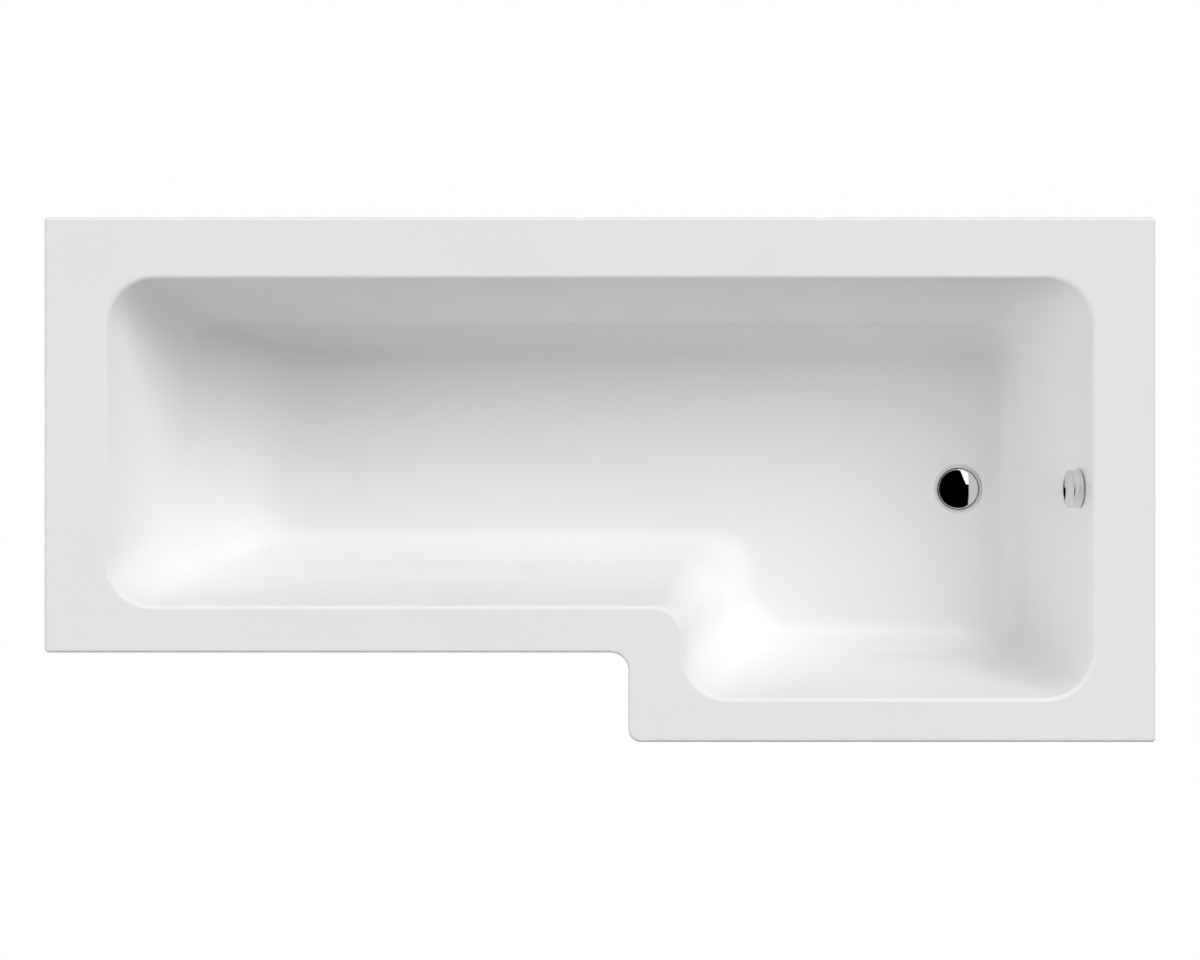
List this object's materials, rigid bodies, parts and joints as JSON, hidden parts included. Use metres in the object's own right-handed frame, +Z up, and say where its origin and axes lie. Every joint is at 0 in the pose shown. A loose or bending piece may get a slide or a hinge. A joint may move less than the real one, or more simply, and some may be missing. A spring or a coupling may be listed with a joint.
{
  "type": "l-shaped shower bath",
  "caption": "L-shaped acrylic shower bath with a wider shower end, flat rim, sloping backrest, pop-up waste and overflow knob, on an adjustable steel leg frame.",
  "frame": {"origin": "on the floor, under the centre of the bath's outer rectangle", "axes": "+X along the bath towards the waste end, +Y towards the wall side, +Z up"},
  "size_m": [1.8, 0.85, 0.56],
  "materials": {
    "acrylic": "gloss",
    "board": "matt",
    "timber": "matt",
    "galvanised": "satin",
    "zinc": "satin",
    "pad": "matt",
    "chrome": "polished",
    "brass": "satin",
    "fitting": "satin",
    "seal": "matt",
    "hose": "satin",
    "sheath": "satin"
  },
  "bodies": {
    "bath": {"bath_shell": "acrylic", "base_board": "board", "back_batten": "timber", "head_batten": "timber", "tap_batten": "timber", "narrow_batten": "timber", "wide_batten": "timber", "leg_rail_head": "galvanised", "leg_rail_tap": "galvanised", "centre_bracket": "galvanised", "wall_brackets": "galvanised", "leg_nuts": "zinc", "rail_screws": "zinc", "bracket_screws": "zinc", "plate_screws": "zinc", "hose_clips": "zinc", "rocker_pin": "zinc", "waste_flange": "chrome", "overflow_plate": "chrome", "cable_glands": "brass", "waste_body": "fitting", "trap_body": "fitting", "trap_nut": "fitting", "trap_outlet_nut": "fitting", "trap_eye_cap": "fitting", "overflow_body": "fitting", "overflow_cover": "fitting", "flange_seal": "seal", "under_seal": "seal", "trap_washer": "seal", "trap_outlet_seal": "seal", "overflow_seal": "seal", "overflow_hose": "hose", "control_cable": "sheath"},
    "knob": {"control_knob": "chrome", "knob_spindle": "brass", "knob_screw": "zinc"},
    "plug": {"plug_cap": "chrome", "plug_seal": "seal", "plug_stem": "brass", "stem_nut": "brass"},
    "lifter": {"lifter_rocker": "fitting"},
    "foot_head_wall": {"foot_pad_head_wall": "pad", "foot_stud_head_wall": "zinc"},
    "foot_head_room": {"foot_pad_head_room": "pad", "foot_stud_head_room": "zinc"},
    "foot_tap_wall": {"foot_pad_tap_wall": "pad", "foot_stud_tap_wall": "zinc"},
    "foot_tap_room": {"foot_pad_tap_room": "pad", "foot_stud_tap_room": "zinc"},
    "foot_centre": {"foot_pad_centre": "pad", "foot_stud_centre": "zinc"}
  },
  "joints": [
    {"name": "knob_turn", "type": "hinge", "parent": "bath", "child": "knob", "pos_m": [0.77829, -0.015, 0.492], "axis": [0.9563, 0, -0.2924], "range_deg": [0, 90]},
    {"name": "plug_rise", "type": "slide", "parent": "bath", "child": "plug", "axis": [0, 0, 1], "range_m": [0, 0.01]},
    {"name": "lifter_rock", "type": "hinge", "parent": "bath", "child": "lifter", "pos_m": [0.571, -0.015, 0.128], "axis": [0, -1, 0], "range_deg": [0, 45.24]},
    {"name": "foot_screw_head_wall", "type": "slide", "parent": "bath", "child": "foot_head_wall", "axis": [0, 0, -1], "range_m": [-0.012, 0.02]},
    {"name": "foot_screw_head_room", "type": "slide", "parent": "bath", "child": "foot_head_room", "axis": [0, 0, -1], "range_m": [-0.012, 0.02]},
    {"name": "foot_screw_tap_wall", "type": "slide", "parent": "bath", "child": "foot_tap_wall", "axis": [0, 0, -1], "range_m": [-0.012, 0.02]},
    {"name": "foot_screw_tap_room", "type": "slide", "parent": "bath", "child": "foot_tap_room", "axis": [0, 0, -1], "range_m": [-0.012, 0.02]},
    {"name": "foot_screw_centre", "type": "slide", "parent": "bath", "child": "foot_centre", "axis": [0, 0, -1], "range_m": [-0.012, 0.02]}
  ],
  "couplings": [
    {"joint": "plug_rise", "follows": "knob_turn", "m_per_rad": 0.0063661},
    {"joint": "lifter_rock", "follows": "knob_turn", "ratio": 0.50267}
  ]
}
